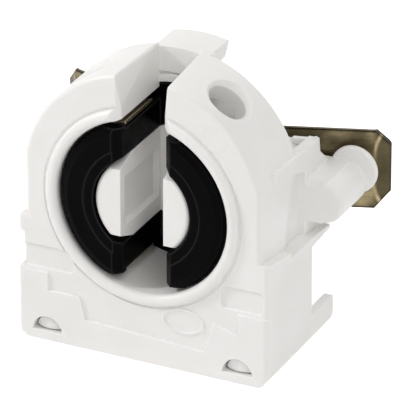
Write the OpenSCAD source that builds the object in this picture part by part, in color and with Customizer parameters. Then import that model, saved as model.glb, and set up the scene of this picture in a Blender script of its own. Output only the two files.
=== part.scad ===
// Rotary lamp holder for a tube with two pins, standing on the underside of its base.
// The front, where the lamp goes, faces -Y. Depth is counted from the front face towards +Y.
// Lengths are in millimetres. The origin is the middle of the base's underside.

/* [Base] */
// Width of the base across its side faces
base_w = 24.8; // [24.3:0.1:26]
// Depth of the base from front to back
base_d = 9.3; // [9.2:0.1:10]
// Height of the ledge on top of the base at the front
ledge_h = 12.1; // [11.9:0.1:12.6]
// How far the ledge falls from the front of the base to its back
ledge_fall = 1.35; // [1:0.05:1.45]
// Radius of the two lower corners of the base
corner_r = 1.3; // [0.6:0.1:1.8]

/* [Dome] */
// Height of the lamp axis above the underside
axis_h = 15.3; // [15.1:0.1:17]
// Width of the upper body across its flat sides
dome_w = 23.2; // [22.8:0.1:23.6]
// Radius of the arched top
dome_r = 11.85; // [11.7:0.05:12.4]
// Height of the arch's centre above the lamp axis
dome_rise = 0.9; // [0.6:0.1:1.2]
// How much less deep the arched body is than the base
dome_step = 1.3; // [1.2:0.05:1.5]
// Radius of the moulded edges of the body
edge_r = 0.4; // [0.2:0.05:0.5]

/* [Lamp opening] */
// Radius of the round opening that the rotor turns in
bore_r = 8.4; // [8.35:0.05:8.5]
// Radius of the half-round bead of the rim round the opening
bead_r = 0.58; // [0.5:0.02:0.6]
// How far the bead stands out from the front face
bead_proud = 0.48; // [0.3:0.02:0.5]
// Width of the entry slot at the top
slot_w = 4.3; // [4.2:0.05:4.6]
// Width of the bevel on each side of the entry slot
slot_bevel = 0.4; // [0.3:0.05:0.9]
// Angle at which the slot's walls open towards the front
slot_splay = 4; // [1:0.2:5]
// Angle at which the slot's walls lean outwards
slot_lean = 8; // [1:0.5:9]

/* [Rotor] */
// Clearance between the rotor's front flange and the opening
rotor_gap = 0.15; // [0.1:0.01:0.2]
// Running clearance between the rotor and the core
core_gap = 0.08; // [0.04:0.01:0.1]
// Radius of the fixed core that the rotor turns on
core_r = 4.7; // [4.6:0.05:4.75]
// Width of the slot across the core
core_slot_w = 4.24; // [4.16:0.02:4.4]
// Width of the two gaps in the rotor that carry the lamp's pins
rotor_slot_w = 4.3; // [4.2:0.05:4.6]
// How far the rotor stands out from the front face
rotor_proud = 0.25; // [0.1:0.05:0.4]
// Thickness of the rotor's front flange
flange_t = 1.2; // [1:0.1:1.6]
// Distance from the axis to the flat ends of the flange, beside the pin gaps
flange_flat = 7.2; // [7:0.05:7.4]
// Radius of the rotor's barrel behind its front flange
barrel_r = 7.25; // [7.05:0.05:7.3]
// Thickness of the ring that joins the rotor's halves at the back
back_ring_t = 0.9; // [0.7:0.05:1]
// Radius of that ring
back_ring_r = 8.7; // [8.6:0.05:8.75]
// How far the core's front corners are cut back beside the slot
core_cut = 1.45; // [1:0.05:1.6]

/* [Contacts] */
// Thickness of the bronze strip
strip_t = 0.3; // [0.2:0.02:0.34]
// Inner radius of the contact's arc
contact_r = 7.45; // [7.42:0.01:7.5]
// How far the contact's arc stays in front of the arched body's back
contact_in = 1.0; // [0.8:0.1:2]
// Width of the contact's tail
tail_w = 2.6; // [2:0.1:2.8]
// Angle from the horizontal to the upper end of the contact's arc
contact_up = 72; // [50:1:73]
// Angle from the horizontal to the lower end of the contact's arc
contact_down = 72; // [50:1:73]
// Thickness of the clamp's steel strip
clamp_t = 0.2; // [0.14:0.02:0.24]

/* [Back] */
// How far the rear box stands back from the base
box_len = 3.9; // [3.7:0.05:4.1]
// Height of the rear box above the lamp axis
box_up = 4.45; // [4.2:0.05:4.8]
// Thickness of the side walls at the back
wall_t = 1.0; // [0.8:0.05:1.1]
// Clearance between the rear cover and the body
cover_gap = 0.15; // [0.1:0.01:0.2]
// Thickness of the wall of the rear cover's round cup
cup_side = 0.75; // [0.7:0.05:0.8]
// How far the two foot plates stand back from the base
foot_len = 4.65; // [4:0.05:4.8]
// Height of the foot plates
foot_h = 3.05; // [2.4:0.05:3.6]
// Thickness of the foot plates
foot_t = 0.75; // [0.5:0.05:0.9]

/* [Lugs] */
// Radius of the round outer side of the side lugs
lug_r = 2.0; // [1.8:0.05:2.15]
// How far the lugs' round centre stands out from the body's flat sides
lug_out = 1.6; // [1.4:0.05:1.8]
// Height of the lugs' centre below the lamp axis
lug_drop = 0.95; // [0.8:0.05:1.2]
// Length of the lugs, front to back
lug_len = 5.85; // [5.4:0.05:5.9]
// Radius of the disc at the end of each lug
disc_r = 2.28; // [2.1:0.02:2.28]
// Thickness of that disc
disc_t = 0.6; // [0.4:0.05:0.7]

/* [Leaf spring] */
// Thickness of the spring's bronze strip
leaf_t = 0.35; // [0.25:0.05:0.4]
// Width of the strip, bottom to top
leaf_h = 7.7; // [7:0.05:7.8]
// Half the length of the flat middle
leaf_flat = 5.3; // [5.2:0.1:5.5]
// Angle at which the wings stand back
leaf_flare = 20; // [19:0.5:24]
// Distance of the bend near each tip from the middle
leaf_bend_x = 15.0; // [14.6:0.05:15.4]
// Length of the bent tips
leaf_tip = 1.45; // [1:0.05:1.6]
// Angle at which the tips stand back
leaf_tip_angle = 42; // [35:1:60]

/* [Holes and windows] */
// Radius of the round hole in each shoulder
shoulder_r = 1.9; // [1.6:0.05:2]
// Angle of the shoulder holes from the vertical
shoulder_angle = 35.5; // [34:0.5:38]
// Radius of the wire entries in the underside of the rear box
wire_r = 0.75; // [0.7:0.02:0.78]
// Height of the label windows
window_h = 2.2; // [1.4:0.05:2.4]
// Depth of the label windows and of the panel under the opening
recess = 0.2; // [0.15:0.05:0.35]
// Radius of the half-moon windows
moon_r = 1.48; // [1.3:0.02:1.6]

/* [Hidden] */
$fn = 64;
eps = 0.01;
past = 1;
white = [0.93, 0.93, 0.92];
black = [0.07, 0.07, 0.075];
bronze = [0.52, 0.44, 0.28];
steel = [0.72, 0.72, 0.74];

// Depths that follow from the base's depth, counted from the front face
dome_d = base_d - dome_step;
back_d = base_d + box_len;
foot_d = base_d + foot_len;
pin_d = dome_d + 0.1;

// The base's side profile and the rear box
ledge_back_h = ledge_h - ledge_fall;
ledge_tip_h = ledge_back_h - 0.2;
ledge_t = 0.6;
box_top = axis_h + box_up;
box_floor = ledge_back_h - ledge_t + 0.1;
ledge_d = back_d - 0.1;
arch_h = axis_h + dome_rise;
rib_d = 2.8;

// The rear cover
cover_w = dome_w - 2 * wall_t - 2 * cover_gap;
cover_floor = ledge_back_h + cover_gap;
cup_r = back_ring_r + 0.15 + cup_side;
cup_floor = pin_d + back_ring_t + 0.1;
cup_wall = 1.2;
plate_t = 0.8;
plate_w = base_w - 2.4;
pocket_floor = axis_h - 2.6;
pocket_top = axis_h + 2.3;
cover_top = pocket_top + 0.75;
pocket_in = 5.5;
pocket_back = back_d - 0.9;
pocket_front = cup_floor + cup_wall;

// The contacts
tail_x = back_ring_r + 0.3;
slit = 0.15;
arc_front = flange_t + 0.4;
arc_back = dome_d - contact_in;
tail_back = pocket_back - 0.1;
pocket_out = tail_x + strip_t + slit + 0.4;
tongue_in = 6;
leaf_z = axis_h - 0.35;

// The wire entries
wire_x = 7.2;
wire_d = pocket_back - strip_t - wire_r - 0.1;

// The snap legs
leg_x = 9.5;
leg_w = 2.2;
leg_h = 1.0;
leg_foot = 0.92;
leg_front = 0.08;
moon_d = 1.1;

// The lugs
lug_x = dome_w / 2 + lug_out;
lug_z = axis_h - lug_drop;
disc_back = back_d + 2.15;
lug_d = disc_back - lug_len;

// Geometry in depth coordinates, moved so that the origin lies under the middle of the base
module from_front() { translate([0, -base_d / 2, 0]) children(); }

// A flat shape (x, z) given thickness from one depth to another
module prism_y(from, to) {
    translate([0, to, 0]) rotate([90, 0, 0]) linear_extrude(to - from) children();
}

// A side shape (depth, z) given width from one x to another
module prism_x(from, to) {
    translate([from, 0, 0]) rotate([90, 0, 90]) linear_extrude(to - from) children();
}

// A profile (radius, depth) turned about an axis along Y
module turned(x, z) { translate([x, 0, z]) rotate([-90, 0, 0]) rotate_extrude() children(); }

// A sector of such a profile, from one angle to another above the horizontal
module turned_sector(low, high) {
    translate([0, 0, axis_h]) rotate([-90, 0, 0]) rotate([0, 0, -high])
        rotate_extrude(angle = high - low) children();
}

// A rectangle with four round corners
module round_rect(x0, x1, y0, y1, r) {
    translate([x0 + r, y0]) square([x1 - x0 - 2 * r, y1 - y0]);
    translate([x0, y0 + r]) square([x1 - x0, y1 - y0 - 2 * r]);
    for (x = [x0 + r, x1 - r], y = [y0 + r, y1 - r]) translate([x, y]) circle(r);
}

// The profile of a disc with round edges
module disc_profile(r, from, to, edge) {
    translate([0, from]) square([r - edge, to - from]);
    translate([0, from + edge]) square([r, to - from - 2 * edge]);
    for (y = [from + edge, to - edge]) translate([r - edge, y]) circle(edge);
}

// What is drawn on the +X side is repeated on the other
module both_sides() { for (side = [0, 1]) mirror([side, 0, 0]) children(); }

module base_block() {
    intersection() {
        prism_y(0, base_d) round_rect(-base_w / 2, base_w / 2, 0, 2 * ledge_h, corner_r);
        linear_extrude(ledge_h) round_rect(-base_w / 2, base_w / 2, 0, 2 * base_d, edge_r);
        prism_x(-base_w, base_w) {
            polygon([[edge_r, 0], [base_d, 0], [base_d, ledge_back_h], [0, ledge_h], [0, edge_r]]);
            translate([edge_r, edge_r]) circle(edge_r);
        }
    }
}

module arched_body() {
    intersection() {
        translate([0, 0, foot_h]) linear_extrude(2 * axis_h)
            round_rect(-dome_w / 2, dome_w / 2, 0, dome_d, edge_r);
        union() {
            turned(0, arch_h) disc_profile(dome_r, 0, dome_d, edge_r);
            translate([-dome_w / 2, 0, foot_h]) cube([dome_w, dome_d, arch_h - foot_h]);
        }
    }
}

// The plain lower band of the front, with its stepped upper edge
module front_band() {
    outline = [[-base_w / 2, 0], [-base_w / 2, 6.9], [-9.4, 6.8], [-9.4, 5.1], [-6.25, 5.1], [-5.7, 2.9],
               [6.1, 2.4], [7.1, 5.4], [9.5, 4.8], [9.5, 6.9], [base_w / 2, 6.9], [base_w / 2, 0]];
    intersection() {
        prism_y(-recess, edge_r) polygon(outline);
        prism_y(-recess, edge_r) round_rect(-base_w / 2, base_w / 2, 0, ledge_h, corner_r);
        linear_extrude(ledge_h) round_rect(-base_w / 2, base_w / 2, -recess, base_d, edge_r);
    }
}

// The bead round the opening, a half-round ring
module bead() {
    turned(0, axis_h) translate([bore_r + bead_r, bead_r - bead_proud]) circle(bead_r);
}

// The side walls of the rear box, a short rib at the top of each, and the thin ledge plate
module rear_walls() {
    both_sides() {
        prism_x(dome_w / 2 - wall_t, dome_w / 2) polygon([
            [rib_d, box_floor], [rib_d, box_top], [back_d - 0.8, box_top - 0.45],
            [back_d - 0.6, axis_h + 2.6], [back_d + 1.45, axis_h + 0.75], [back_d + 1.45, lug_z - lug_r + 0.3],
            [back_d + 0.1, lug_z - lug_r], [back_d, box_floor]]);
        prism_y(back_d - 1.3, back_d - 0.75) polygon([
            [9, cover_top + cover_gap], [dome_w / 2 - 0.2, cover_top + cover_gap],
            [dome_w / 2 - 0.2, box_top - 0.35], [10.6, box_top - 0.6], [9, box_top - 0.8]]);
    }
    prism_x(-base_w / 2, base_w / 2) polygon([
        [base_d - 1, box_floor - 0.4], [ledge_d, ledge_tip_h - 0.35], [ledge_d, ledge_tip_h],
        [base_d - 1, ledge_back_h + ledge_fall / base_d]]);
}

// The hook behind the entry slot and the wall that it stands on
module top_hook() {
    hook_back = dome_d + 4.3;
    seat = axis_h + cup_r + cover_gap;
    top = arch_h + dome_r;
    intersection() {
        turned(0, arch_h) disc_profile(dome_r - 0.45, 0, hook_back, 0.35);
        prism_y(dome_d - eps, hook_back + eps)
            polygon([[-2.3, seat + 0.4], [2.3, seat + 0.4], [2.8, top - 0.5], [2.8, top], [-2.8, top], [-2.8, top - 0.5]]);
    }
    translate([-4.5, dome_d - eps, seat]) cube([9, 0.9, 1.25]);
}

// One side lug: a bar with a flat top and a round outer side, and the disc at its end
module side_lug() {
    turned(lug_x, lug_z) disc_profile(lug_r, lug_d, disc_back - disc_t / 2, edge_r);
    difference() {
        union() {
            translate([dome_w / 2 - wall_t, lug_d, lug_z - lug_r])
                cube([lug_x - dome_w / 2 + wall_t, disc_back - lug_d - disc_t, lug_r]);
            translate([dome_w / 2 - wall_t, lug_d, lug_z])
                cube([lug_x + 0.35 - dome_w / 2 + wall_t, disc_back - lug_d - disc_t, lug_r + 0.1]);
        }
        translate([0, lug_d, lug_z + lug_r + 0.1]) rotate([45, 0, 0]) cube([2 * lug_x, 0.7, 0.7], center = true);
    }
    turned(lug_x + 0.65, lug_z + 1.15) disc_profile(disc_r, disc_back - disc_t, disc_back, 0.2);
}

// The thin plates that stand back at the foot, with the base's outline
module foot_plates() {
    difference() {
        intersection() {
            prism_y(base_d - 1, foot_d) round_rect(-base_w / 2, base_w / 2, 0, 2 * ledge_h, corner_r);
            prism_x(-base_w, base_w) round_rect(0, foot_d, 0, foot_h, 0.3);
        }
        translate([foot_t - base_w / 2, base_d - past - eps, -past]) cube([base_w - 2 * foot_t, base_d, base_w]);
    }
}

// The wedge-shaped hollow in front of each lug, whose floor slopes down to the lug
module lug_scoop() {
    intersection() {
        translate([0, 6.7, axis_h + 2.7]) rotate([-15, 0, 0]) translate([0, 0, -9]) linear_extrude(9)
            polygon([[dome_w / 2, 0], [dome_w / 2 - 0.6, 2.3], [dome_w / 2 - 0.6, 6], [base_w, 6], [base_w, 0]]);
        translate([0, 0, ledge_back_h + 0.1]) cube([base_w, lug_d, axis_h]);
    }
}

// The entry slot: a lead-in whose walls splay and lean outwards, with bevelled front and top edges
module entry_slot() {
    top = 2 * axis_h;
    translate([-slot_w / 2, -past, axis_h]) cube([slot_w, dome_d + past, top]);
    translate([0, 0, axis_h + core_r]) linear_extrude(top)
        polygon([[-slot_w / 2 - slot_bevel - past, -past], [slot_w / 2 + slot_bevel + past, -past],
                 [slot_w / 2, slot_bevel], [-slot_w / 2, slot_bevel]]);
    intersection() {
        translate([-slot_w, -past, axis_h + core_r]) cube([2 * slot_w, dome_d + past, top]);
        both_sides() {
            translate([slot_w / 2, 1, axis_h + 9.6]) rotate([0, slot_lean, slot_splay])
                translate([-3, -2 * dome_d, -dome_d]) cube([3, 4 * dome_d, 3 * dome_d]);
            translate([slot_w / 2 + 0.5, 0, arch_h + dome_r - 0.35]) rotate([0, 44.5, slot_splay])
                translate([-3, -dome_d, -3]) cube([3, 3 * dome_d, 6]);
        }
    }
}

// The hole in each shoulder, with its bevelled rim, and the hollow that it opens into
module shoulder_hole() {
    translate([0, 0.47 * dome_d, arch_h]) rotate([0, shoulder_angle, 0]) {
        translate([0, 0, bore_r]) cylinder(h = dome_r, r = shoulder_r);
        translate([0, 0, dome_r - 0.5]) cylinder(h = 1.2, r1 = shoulder_r, r2 = shoulder_r + 1.4);
    }
}

// The hollow in each shoulder, open at the back, which keeps the wall even
module shoulder_hollow() {
    translate([0, 0, axis_h]) rotate([-90, 0, 0]) rotate([0, 0, -72])
        rotate_extrude(angle = 50) translate([bore_r + 0.9, 1.5]) square([1.25, dome_d]);
}

// A label window, left bare
module label_window(from) {
    prism_y(-past, recess) round_rect(from, base_w / 2 - 0.5, 7.2, 7.2 + window_h, 0.5);
}

// An oval of four arcs
module oval(ends, sides) {
    for (x = [-1.1, 1.1]) translate([x, 0]) circle(ends);
    intersection() {
        translate([0, -1.75]) circle(sides);
        translate([0, 1.75]) circle(sides);
        square([2 * 1.1 * sides / (sides - ends), 4], center = true);
    }
}

// A plain raised oval line on the front
module oval_line() {
    translate([4.05, 0, 4.95]) prism_y(-0.12, 0.3) difference() {
        oval(1, 3.05);
        oval(0.76, 2.81);
    }
}

// The half-moon window and the tunnel of the snap leg behind it
module moon_window() {
    prism_y(-past, moon_d) intersection() {
        translate([leg_x, leg_foot]) circle(moon_r);
        translate([0, leg_foot]) square([base_w, 2 * moon_r]);
    }
    translate([leg_x - leg_w / 2 - cover_gap, moon_d - eps, leg_foot])
        cube([leg_w + 2 * cover_gap, base_d, leg_h + 2 * cover_gap]);
}

module housing() {
    color(white) from_front() difference() {
        union() {
            base_block();
            arched_body();
            front_band();
            bead();
            rear_walls();
            top_hook();
            both_sides() side_lug();
            foot_plates();
            oval_line();
        }
        // the opening, and the wider seat of the cover's cup behind it
        translate([0, -past, axis_h]) rotate([-90, 0, 0]) cylinder(h = base_d + 2 * past, r = bore_r);
        translate([0, dome_d, axis_h]) rotate([-90, 0, 0]) cylinder(h = base_d, r = cup_r + cover_gap);
        // a fine groove outside the bead
        turned(0, axis_h) translate([bore_r + 2 * bead_r, -past]) square([0.22, past + 0.1]);
        entry_slot();
        // the shallow step in the base's left side, above the front's lower band
        translate([-base_w / 2 - past, -past, 6.9]) cube([past + 0.6, base_d, ledge_back_h - 7.1]);
        label_window(7.75);
        mirror([1, 0, 0]) label_window(6.85);
        both_sides() {
            shoulder_hole();
            shoulder_hollow();
            lug_scoop();
            moon_window();
            // the passage of the contact's tail
            translate([contact_r - 0.2, arc_back - strip_t - slit, axis_h - tail_w / 2 - slit])
                cube([tail_x + strip_t + slit - contact_r + 0.2, base_d, tail_w + 2 * slit]);
            // the wire entry through the ledge plate
            translate([wire_x, wire_d, box_floor - past]) cylinder(h = 2 * past, r = wire_r + 0.25);
        }
    }
}

// One turned body with two gaps. A stepped outer edge and a fine line mark its front face.
module rotor() {
    flange_r = bore_r - rotor_gap;
    hole_r = core_r + core_gap;
    color(black) from_front() difference() {
        turned(0, axis_h) {
            difference() {
                union() {
                    translate([hole_r, -rotor_proud]) square([7.3 - hole_r, flange_t + rotor_proud]);
                    translate([hole_r, 0.3]) square([flange_r - hole_r, flange_t - 0.3]);
                    polygon([[7.3, -rotor_proud], [flange_r - 0.3, 0], [flange_r, 0.3], [7.2, 0.4]]);
                    translate([hole_r, 0]) square([barrel_r - hole_r, pin_d + eps]);
                    translate([hole_r, pin_d]) square([back_ring_r - hole_r, back_ring_t]);
                }
                translate([5.62, -past]) square([0.12, past + 0.1 - rotor_proud]);
                translate([0, -past]) square([5.66, past + 0.08 - rotor_proud]);
            }
        }
        // the flat ends of the flange
        for (flip = [0, 1]) translate([0, 0, axis_h]) mirror([0, 0, flip])
            translate([-bore_r, -past, flange_flat]) cube([2 * bore_r, past + flange_t + eps, bore_r]);
        // the gaps for the pins, right across, with bevelled front edges
        translate([-rotor_slot_w / 2, -past, 0]) cube([rotor_slot_w, pin_d + past, 2 * axis_h]);
        linear_extrude(2 * axis_h)
            polygon([[-rotor_slot_w / 2 - 0.85, -rotor_proud - 0.1], [rotor_slot_w / 2 + 0.85, -rotor_proud - 0.1],
                     [rotor_slot_w / 2, 0.6], [-rotor_slot_w / 2, 0.6]]);
    }
}

// The slotted core, with a sunk panel in each wall of its slot
module core() {
    difference() {
        turned(0, axis_h) disc_profile(core_r, 0, cup_floor + cup_wall / 2, 0.42);
        translate([-core_slot_w / 2, -past, 0]) cube([core_slot_w, pin_d + past, 2 * axis_h]);
        translate([-core_slot_w / 2 - 0.6, 0.95, axis_h - 2.6])
            cube([core_slot_w + 1.2, pin_d - 0.95 - 0.35, 4.8]);
        // the cut front corners beside the slot
        for (flip = [0, 1]) translate([0, 0, axis_h]) mirror([0, 0, flip]) prism_x(-core_r, core_r)
            polygon([[-past, core_r - core_cut], [0, core_r - core_cut], [2.6, core_r - 0.45],
                     [2.6, 2 * core_r], [-past, 2 * core_r]]);
    }
}

// One pocket for a contact's tongue and clamp, with the slit for the tail
module terminal_pocket() {
    translate([pocket_in, pocket_front, pocket_floor])
        cube([pocket_out - pocket_in, pocket_back - pocket_front, pocket_top - pocket_floor]);
    translate([tail_x - slit, dome_d - past, axis_h - tail_w / 2 - slit])
        cube([strip_t + 2 * slit, pocket_back - dome_d + past, tail_w + 2 * slit]);
    translate([wire_x, wire_d, cover_floor - past])
        cylinder(h = pocket_floor - cover_floor + 2 * past, r = wire_r);
}

// A snap leg, with the crowned head that fills most of the half-moon window
module snap_leg() {
    translate([leg_x - leg_w / 2, moon_d - 0.2, leg_foot + cover_gap])
        cube([leg_w, base_d - moon_d + plate_t + 0.2, leg_h]);
    intersection() {
        prism_y(leg_front, moon_d) intersection() {
            translate([leg_x, leg_foot]) circle(moon_r - 0.15);
            translate([0, leg_foot + cover_gap]) square([base_w, 2 * moon_r]);
        }
        translate([leg_x, leg_front + 2.2, leg_foot + 0.55]) sphere(2.2);
    }
}

module rear_cover() {
    half_w = cover_w / 2;
    color(white) from_front() {
        difference() {
            union() {
                // the round cup behind the rotor
                turned(0, axis_h) disc_profile(cup_r, dome_d, cup_floor + cup_wall, 0.2);
                // the box with the two terminal pockets
                translate([-half_w, dome_d + 0.6, cover_floor])
                    cube([cover_w, back_d - dome_d - 0.6, cover_top - cover_floor]);
                // the plate over the back of the base
                prism_y(base_d, base_d + plate_t)
                    round_rect(-plate_w / 2, plate_w / 2, 0.35, box_floor - 0.5, 0.5);
                both_sides() snap_leg();
                // the two studs that hold the leaf spring, with their spread heads
                both_sides() stud();
            }
            translate([0, dome_d - past, axis_h]) rotate([-90, 0, 0])
                cylinder(h = cup_floor - dome_d + past, r = back_ring_r + 0.15);
            both_sides() terminal_pocket();
        }
        core();
    }
}

// A stud with its spread head, on the box's back
module stud() {
    translate([3, back_d - eps, leaf_z]) rotate([-90, 0, 0]) {
        cylinder(h = leaf_t + eps, r = 0.8);
        translate([0, 0, leaf_t + eps]) cylinder(h = 0.3, r = 1.25);
        translate([0, 0, leaf_t + 0.3]) cylinder(h = 0.25, r1 = 1.25, r2 = 0.8);
    }
}

// A contact: an arc beside the pins' path, a step outwards and a tail with a bent tongue
module contact() {
    color(bronze) from_front() {
        turned_sector(-contact_down, contact_up)
            translate([contact_r, arc_front]) square([strip_t, arc_back - arc_front]);
        translate([contact_r + strip_t / 2, arc_back - strip_t, axis_h - tail_w / 2])
            cube([tail_x + strip_t - contact_r - strip_t / 2, strip_t, tail_w]);
        translate([tail_x, arc_back - strip_t, axis_h - tail_w / 2])
            cube([strip_t, tail_back - arc_back + strip_t, tail_w]);
        translate([tongue_in, tail_back - strip_t, axis_h - tail_w / 2])
            cube([tail_x + strip_t - tongue_in, strip_t, tail_w]);
    }
}

// A clamp: a bent steel strip that grips the wire against the contact's tongue
module clamp() {
    heel = pocket_front + 0.1;
    out = tail_x - 0.1;
    color(steel) from_front() translate([0, 0, axis_h - 1]) linear_extrude(2) {
        translate([out - clamp_t, heel]) square([clamp_t, tail_back - strip_t - heel - 0.3]);
        translate([6.8, heel]) square([out - 6.8, clamp_t]);
        translate([6.8, heel + clamp_t / 2]) circle(clamp_t / 2, $fn = 24);
        translate([6.8, heel + clamp_t / 2]) rotate(125) translate([0, -clamp_t / 2]) square([0.9, clamp_t]);
    }
}

// A straight stretch of strip from one point to the next, with a round end
module strip_run(from, to, t) {
    run = to - from;
    translate(from) rotate(atan2(run[1], run[0])) {
        translate([0, -t / 2]) square([norm(run), t]);
        translate([norm(run), 0]) circle(t / 2, $fn = 24);
    }
}

// The leaf spring: a flat middle on the two studs, wings that stand back, and bent tips
module leaf_spring() {
    mid = back_d + leaf_t / 2;
    p1 = [leaf_flat, mid];
    p2 = [leaf_bend_x, mid + (leaf_bend_x - leaf_flat) * tan(leaf_flare)];
    p3 = p2 + leaf_tip * [cos(leaf_tip_angle), sin(leaf_tip_angle)];
    low = leaf_z - leaf_h / 2;
    color(bronze) from_front() difference() {
        translate([0, 0, low]) linear_extrude(leaf_h) both_sides() {
            strip_run([0, mid], p1, leaf_t);
            strip_run(p1, p2, leaf_t);
            strip_run(p2, p3, leaf_t);
        }
        both_sides() {
            translate([3, back_d - past, leaf_z]) rotate([-90, 0, 0]) cylinder(h = 2 * past, r = 0.85);
            for (flip = [0, 1]) translate([0, 0, leaf_z]) mirror([0, 0, flip])
                prism_y(back_d, 2 * back_d)
                    polygon([[p2[0] + 0.1, leaf_h / 2 + eps], [p3[0] - 0.1, leaf_h / 2 - 1.2],
                             [p3[0] + past, leaf_h / 2 - 2.5], [p3[0] + past, leaf_h]]);
        }
    }
}

housing();
rotor();
rear_cover();
mirror([1, 0, 0]) contact();  // contact_left
contact();  // contact_right
mirror([1, 0, 0]) clamp();  // clamp_left
clamp();  // clamp_right
leaf_spring();
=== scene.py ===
# %% [markdown]
# # A rotary holder for a fluorescent tube
# The solids come packed in metres, standing on z = 0 with the lamp opening towards -Y.
# This file gives each piece its surface, sets up a soft studio and a camera at the photograph's angle.

# %%
import bpy, math
from mathutils import Matrix, Vector

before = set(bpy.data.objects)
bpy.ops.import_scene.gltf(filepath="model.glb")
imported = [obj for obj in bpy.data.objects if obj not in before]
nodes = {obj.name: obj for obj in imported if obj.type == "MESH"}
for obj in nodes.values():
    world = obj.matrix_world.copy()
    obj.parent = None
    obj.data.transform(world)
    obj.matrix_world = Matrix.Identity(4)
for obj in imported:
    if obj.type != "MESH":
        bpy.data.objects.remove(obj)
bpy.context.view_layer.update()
MM = 0.001

# %% [markdown]
# ## Camera
# Azimuth and elevation were worked out from the round opening, which shows as an ellipse, and from the base's edges.
# A long lens far away matches the photograph, whose parallel edges hardly converge.

# %%
AZIMUTH, ELEVATION = math.radians(25.77), math.radians(26.47)
DISTANCE = 460.6 * MM
LENS = 445.7
OPENING = Vector((0, -4.65, 15.3)) * MM
SHIFT = Vector((6.057, 0.145)) * MM

back = Vector((math.sin(AZIMUTH) * math.cos(ELEVATION), -math.cos(AZIMUTH) * math.cos(ELEVATION), math.sin(ELEVATION)))
right = Vector((math.cos(AZIMUTH), math.sin(AZIMUTH), 0))
up = back.cross(right)
eye = OPENING + back * DISTANCE + right * SHIFT.x - up * SHIFT.y

camera_data = bpy.data.cameras.new("camera")
camera_data.lens = LENS
camera_data.sensor_width = 36
camera_data.clip_start, camera_data.clip_end = 0.01, 20
camera = bpy.data.objects.new("camera", camera_data)
bpy.context.scene.collection.objects.link(camera)
camera.matrix_world = Matrix.Translation(eye) @ Matrix((right, up, back)).transposed().to_4x4()
bpy.context.scene.camera = camera
print("camera at", [round(v, 3) for v in eye])

# %% [markdown]
# ## Material kit
# Hex colours are sRGB, so one function turns them into the linear values that shaders use.
# `new_material` starts each material, and `add_node` adds one shader node and links what goes into it.

# %%
def colour(hex_code):
    parts = [int(hex_code[i:i + 2], 16) / 255 for i in (1, 3, 5)]
    return tuple(p / 12.92 if p <= 0.04045 else ((p + 0.055) / 1.055) ** 2.4 for p in parts) + (1.0,)

def new_material(name):
    material = bpy.data.materials.new(name)
    material.use_nodes = True
    return material, material.node_tree.nodes["Principled BSDF"]

def add_node(material, kind, inputs=None, **settings):
    node = material.node_tree.nodes.new(kind)
    for key, value in settings.items():
        setattr(node, key, value)
    for key, value in (inputs or {}).items():
        if isinstance(value, bpy.types.NodeSocket):
            material.node_tree.links.new(value, node.inputs[key])
        else:
            node.inputs[key].default_value = value
    return node

def feed(material, source, target):
    material.node_tree.links.new(source, target)

def noise(material, size_mm, detail=3.0, stretch=(1, 1, 1)):
    place = add_node(material, "ShaderNodeTexCoord").outputs["Object"]
    scaled = add_node(material, "ShaderNodeMapping", {"Vector": place, "Scale": stretch}).outputs["Vector"]
    made = add_node(material, "ShaderNodeTexNoise", {"Vector": scaled, "Scale": 1 / (size_mm * MM), "Detail": detail})
    return made.outputs["Fac"]

def ramp(material, factor, low, high, to_low, to_high):
    made = add_node(material, "ShaderNodeMapRange",
                    {"Value": factor, "From Min": low, "From Max": high, "To Min": to_low, "To Max": to_high})
    return made.outputs["Result"]

def mix(material, factor, a, b):
    made = add_node(material, "ShaderNodeMix", data_type="RGBA")
    feed(material, factor, made.inputs["Factor"])
    for index, value in ((6, a), (7, b)):
        if isinstance(value, bpy.types.NodeSocket):
            feed(material, value, made.inputs[index])
        else:
            made.inputs[index].default_value = value
    return made.outputs[2]

print("#808080 in linear values:", [round(v, 3) for v in colour("#808080")])

# %% [markdown]
# Ejector pins leave faint rings on a moulding. `ring_mark` gives a height that is 1 on a thin ring round a point.

# %%
def maths(material, operation, a, b=0.0):
    made = add_node(material, "ShaderNodeMath", operation=operation)
    for socket, value in zip(made.inputs, (a, b)):
        if isinstance(value, bpy.types.NodeSocket):
            feed(material, value, socket)
        else:
            socket.default_value = value
    return made.outputs["Value"]

def ring_mark(material, centre_mm, radius_mm, width_mm):
    place = add_node(material, "ShaderNodeTexCoord").outputs["Object"]
    away = add_node(material, "ShaderNodeVectorMath", {0: place, 1: tuple(v * MM for v in centre_mm)},
                    operation="DISTANCE").outputs["Value"]
    off = maths(material, "ABSOLUTE", maths(material, "SUBTRACT", away, radius_mm * MM))
    return ramp(material, off, 0, width_mm * MM, 1, 0)

print("kit ready")

# %% [markdown]
# ## Moulded plastic
# The body is white PBT, a stiff polyester, and the rotor is the same plastic in black. Both were injection moulded
# in a mould with a finely eroded surface, which gives a satin look. A painted texture could do that, but noise nodes
# stay sharp at any size, so both share one recipe: a slow change of tone, a fine grain in the roughness and the
# surface, and a rounded look on every edge, because a moulding never has a knife edge. `edge_share` is 1 on a
# piece's edges, where a painted highlight goes into the colour: white on the white body, grey glints on the black
# rotor. Light goes a little way into the white one. A plastic reflects as its IOR of about 1.54 says. The rotor sits
# deep in its ring, where little light falls, so its shine is held down.

# %%
def edge_share(material, width_mm):
    rounded = add_node(material, "ShaderNodeBevel", {"Radius": width_mm * MM}, samples=8).outputs["Normal"]
    flat = add_node(material, "ShaderNodeNewGeometry").outputs["True Normal"]
    along = add_node(material, "ShaderNodeVectorMath", {0: rounded, 1: flat}, operation="DOT_PRODUCT").outputs["Value"]
    return ramp(material, along, 0.995, 0.88, 0, 1)

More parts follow.
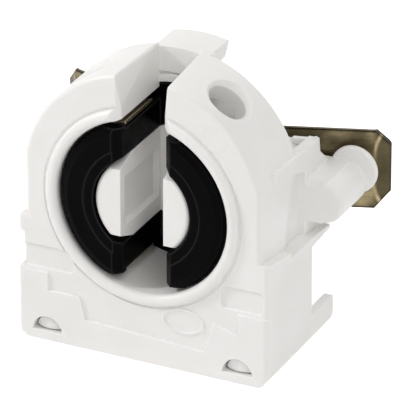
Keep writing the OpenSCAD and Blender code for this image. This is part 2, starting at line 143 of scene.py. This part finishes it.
def moulded_plastic(name, light, dark, painted_edge_tone, roughness, grain_mm, bump, edge_mm, marks=(), depth=0.0, shine=0.5):
    material, surface = new_material(name)
    cloudy = noise(material, 6.0)
    fine = noise(material, grain_mm, 4.0)
    tone = mix(material, ramp(material, cloudy, 0.35, 0.65, 0, 1), colour(dark), colour(light))
    # Painted highlight: on the edges the colour turns to the edge tone, lighter than the surface.
    feed(material, mix(material, edge_share(material, 2 * edge_mm), tone, colour(painted_edge_tone)), surface.inputs["Base Color"])
    feed(material, ramp(material, fine, 0.3, 0.7, roughness - 0.05, roughness + 0.05), surface.inputs["Roughness"])
    rounded = add_node(material, "ShaderNodeBevel", {"Radius": edge_mm * MM}, samples=8).outputs["Normal"]
    grain = add_node(material, "ShaderNodeBump",
                     {"Height": fine, "Strength": 1.0, "Distance": bump * MM, "Normal": rounded}).outputs["Normal"]
    for centre, radius in marks:
        grain = add_node(material, "ShaderNodeBump", {"Height": ring_mark(material, centre, radius, 0.12),
                         "Strength": 1.0, "Distance": 0.015 * MM, "Normal": grain}).outputs["Normal"]
    feed(material, grain, surface.inputs["Normal"])
    surface.inputs["IOR"].default_value = 1.54
    surface.inputs["Specular IOR Level"].default_value = shine
    surface.inputs["Subsurface Weight"].default_value = depth
    surface.inputs["Subsurface Radius"].default_value = (1.0, 0.95, 0.85)
    surface.inputs["Subsurface Scale"].default_value = 0.4 * MM
    return material

body_marks = [((side * 7.1, -4.65, 23.5), 1.25) for side in (-1, 1)]
rotor_marks = [((side * 4.1, -4.9, 15.3 + side * 4.45), 0.55) for side in (-1, 1)]
# The third colour of each is a painted highlight on the edges: white on the body, grey glints on the rotor.
white_plastic = moulded_plastic("white_moulded_plastic", "#f6f5f3", "#f2f1ee", "#ffffff", 0.4, 0.16, 0.004, 0.15,
                                body_marks, 0.15)
black_plastic = moulded_plastic("black_moulded_plastic", "#060606", "#040404", "#2c2c2e", 0.3, 0.14, 0.003, 0.16,
                                rotor_marks, shine=0.025)
print("plastics made")

# %% [markdown]
# ## Strip metal
# The leaf spring and the contacts are dull bronze strip, the clamps are steel strip.
# Stock keeps cloudy stains and faint rolling lines along the strip, so two noises do that: one round, and one
# stretched along the strip. The edges take a painted edge tone: painted shade, dark, on the spring's edges, and a
# painted highlight, pale, on the contacts' and the clamps' edges. `bend_share` is 1 on the curved line where the
# spring's tips are bent, which gets a painted highlight, and the tips beyond the bend are painted darker as shade,
# since they face away from the light.
# Metals take their colour from the reflection, so Metallic is 1 and the IOR stays at its default.

# %%
def bend_share(material, bend_mm, middle_mm, curve, width_mm):
    place = add_node(material, "ShaderNodeTexCoord").outputs["Object"]
    parts = add_node(material, "ShaderNodeSeparateXYZ", {"Vector": place}).outputs
    high = maths(material, "MULTIPLY", maths(material, "SUBTRACT", parts["Z"], middle_mm * MM), 1 / MM)
    bent = maths(material, "MULTIPLY", maths(material, "MULTIPLY", high, high), curve * MM)
    away = maths(material, "ABSOLUTE", parts["X"])
    off = maths(material, "SUBTRACT", maths(material, "SUBTRACT", away, bent), bend_mm * MM)
    return ramp(material, maths(material, "ABSOLUTE", off), 0, width_mm * MM, 1, 0)

def rolled_strip(name, light, dark, roughness, stain, painted_edge_tone, edge_mm, bend=None):
    material, surface = new_material(name)
    lines = noise(material, 0.25, 2.0, (0.12, 0.12, 1.0))
    clouds = noise(material, 1.7, 4.0)
    tone = mix(material, ramp(material, clouds, 0.34, 0.72, 0, 0.85), colour(light), colour(dark))
    tone = mix(material, ramp(material, lines, 0.4, 0.62, 0, stain), tone, colour(dark))
    if bend:
        place = add_node(material, "ShaderNodeTexCoord").outputs["Object"]
        away = maths(material, "ABSOLUTE", add_node(material, "ShaderNodeSeparateXYZ", {"Vector": place}).outputs["X"])
        # Painted highlight along the bend line, broken up by the clouds.
        bend_highlight = maths(material, "MULTIPLY", bend_share(material, *bend), ramp(material, clouds, 0.35, 0.6, 0.4, 1))
        # Painted shade: the tips beyond the bend turn darker, as they face away from the light.
        tone = mix(material, ramp(material, away, bend[0] * MM, (bend[0] + 0.5) * MM, 0, 0.85), tone, colour(dark))
        tone = mix(material, bend_highlight, tone, colour("#c3b088"))
    # Painted edge tone: shade on the spring's edges, highlight on the contacts' and the clamps' edges.
    tone = mix(material, edge_share(material, edge_mm), tone, colour(painted_edge_tone))
    feed(material, tone, surface.inputs["Base Color"])
    feed(material, ramp(material, clouds, 0.3, 0.7, roughness - 0.08, roughness + 0.12), surface.inputs["Roughness"])
    rounded = add_node(material, "ShaderNodeBevel", {"Radius": 0.1 * MM}, samples=8).outputs["Normal"]
    bumped = add_node(material, "ShaderNodeBump",
                      {"Height": clouds, "Strength": 1.0, "Distance": 0.006 * MM, "Normal": rounded}).outputs["Normal"]
    feed(material, bumped, surface.inputs["Normal"])
    surface.inputs["Metallic"].default_value = 1.0
    return material

# Spring: painted shade on its edges and a painted highlight on its bend. Contacts and clamps: painted highlight on
# their edges.
spring_bronze = rolled_strip("dull_spring_bronze", "#968a6a", "#484230", 0.36, 0.25, "#14110c", 0.5,
                             (14.85, 14.95, 0.06, 0.22))
contact_bronze = rolled_strip("contact_bronze", "#c2b697", "#8d8268", 0.4, 0.2, "#ded0b4", 0.12)
spring_steel = rolled_strip("steel_strip", "#c9c9c8", "#a5a5a6", 0.3, 0.3, "#dededf", 0.05)
print("metals made")

# %% [markdown]
# ## Surfaces on the solids
# The mouldings and strips could be modelled again with finer edges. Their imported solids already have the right
# shape, and a moving part must stay where it is, so each solid keeps its mesh and only gets its material.

# %%
finish_of = {
    "housing": white_plastic, "rear_cover": white_plastic, "rotor": black_plastic,
    "contact_left": contact_bronze, "contact_right": contact_bronze, "leaf_spring": spring_bronze,
    "clamp_left": spring_steel, "clamp_right": spring_steel,
}
for name, material in finish_of.items():
    nodes[name].data.materials.clear()
    nodes[name].data.materials.append(material)
    print(name, len(nodes[name].data.polygons), "faces")

# %% [markdown]
# ## Studio
# A white floor runs far behind the object. A small soft key light comes low from the left, so that it rakes over the
# front and draws its shallow relief. Weaker, wider lights come from the right, from above and from behind, and the
# world fills the rest. The floor and the world look white to the camera and in reflections, through Light Path,
# while the light on the object stays at a plain level.

# %%
floor_mesh = bpy.data.meshes.new("floor")
floor_mesh.from_pydata([(-6, -6, 0), (6, -6, 0), (6, 6, 0), (-6, 6, 0)], [], [(0, 1, 2, 3)])
floor = bpy.data.objects.new("floor", floor_mesh)
bpy.context.scene.collection.objects.link(floor)

def looking_rays(owner):
    path = add_node(owner, "ShaderNodeLightPath")
    mirrored = maths(owner, "MAXIMUM", path.outputs["Is Glossy Ray"], path.outputs["Is Transmission Ray"])
    return maths(owner, "MAXIMUM", path.outputs["Is Camera Ray"], mirrored)

floor_material, floor_surface = new_material("pale_floor")
floor_surface.inputs["Roughness"].default_value = 0.9
feed(floor_material, mix(floor_material, noise(floor_material, 40), colour("#fdfdfd"), colour("#fbfbfb")),
     floor_surface.inputs["Base Color"])
floor_surface.inputs["Emission Color"].default_value = colour("#ffffff")
feed(floor_material, maths(floor_material, "MULTIPLY", looking_rays(floor_material), 0.45),
     floor_surface.inputs["Emission Strength"])
floor_mesh.materials.append(floor_material)
print("floor made")

# %% [markdown]
# Lights are placed by azimuth and elevation in degrees, seen from the opening, where azimuth 0 is straight in front.

# %%
def soft_light(name, azimuth, elevation, distance, size, power):
    data = bpy.data.lights.new(name, "AREA")
    data.shape, data.size, data.energy = "DISK", size, power
    light = bpy.data.objects.new(name, data)
    bpy.context.scene.collection.objects.link(light)
    a, e = math.radians(azimuth), math.radians(elevation)
    towards = Vector((math.sin(a) * math.cos(e), -math.cos(a) * math.cos(e), math.sin(e)))
    turn = towards.to_track_quat("Z", "Y").to_matrix().to_4x4()
    light.matrix_world = Matrix.Translation(OPENING + towards * distance) @ turn
    print(name, "light:", power, "W,", size, "m wide")

soft_light("key", -68, 35, 0.5, 0.06, 0.84)
soft_light("fill", 50, 40, 0.5, 0.25, 0.3)
soft_light("top", 60, 75, 0.5, 0.15, 0.2)
soft_light("rim", 170, 40, 0.6, 0.35, 0.35)

# %% [markdown]
# The world has two backgrounds: the plain one lights the object, and the white one is what the camera and
# reflections see.

# %%
world = bpy.data.worlds.new("studio")
bpy.context.scene.world = world
world.use_nodes = True
seen = add_node(world, "ShaderNodeBackground", {"Color": colour("#ffffff"), "Strength": 1.0})
lit = add_node(world, "ShaderNodeBackground", {"Color": colour("#f8f6f5"), "Strength": 0.56})
blend = add_node(world, "ShaderNodeMixShader", {0: looking_rays(world)})
feed(world, lit.outputs["Background"], blend.inputs[1])
feed(world, seen.outputs["Background"], blend.inputs[2])
feed(world, blend.outputs["Shader"], world.node_tree.nodes["World Output"].inputs["Surface"])
bpy.context.scene.view_settings.view_transform = "Standard"
print("world made")
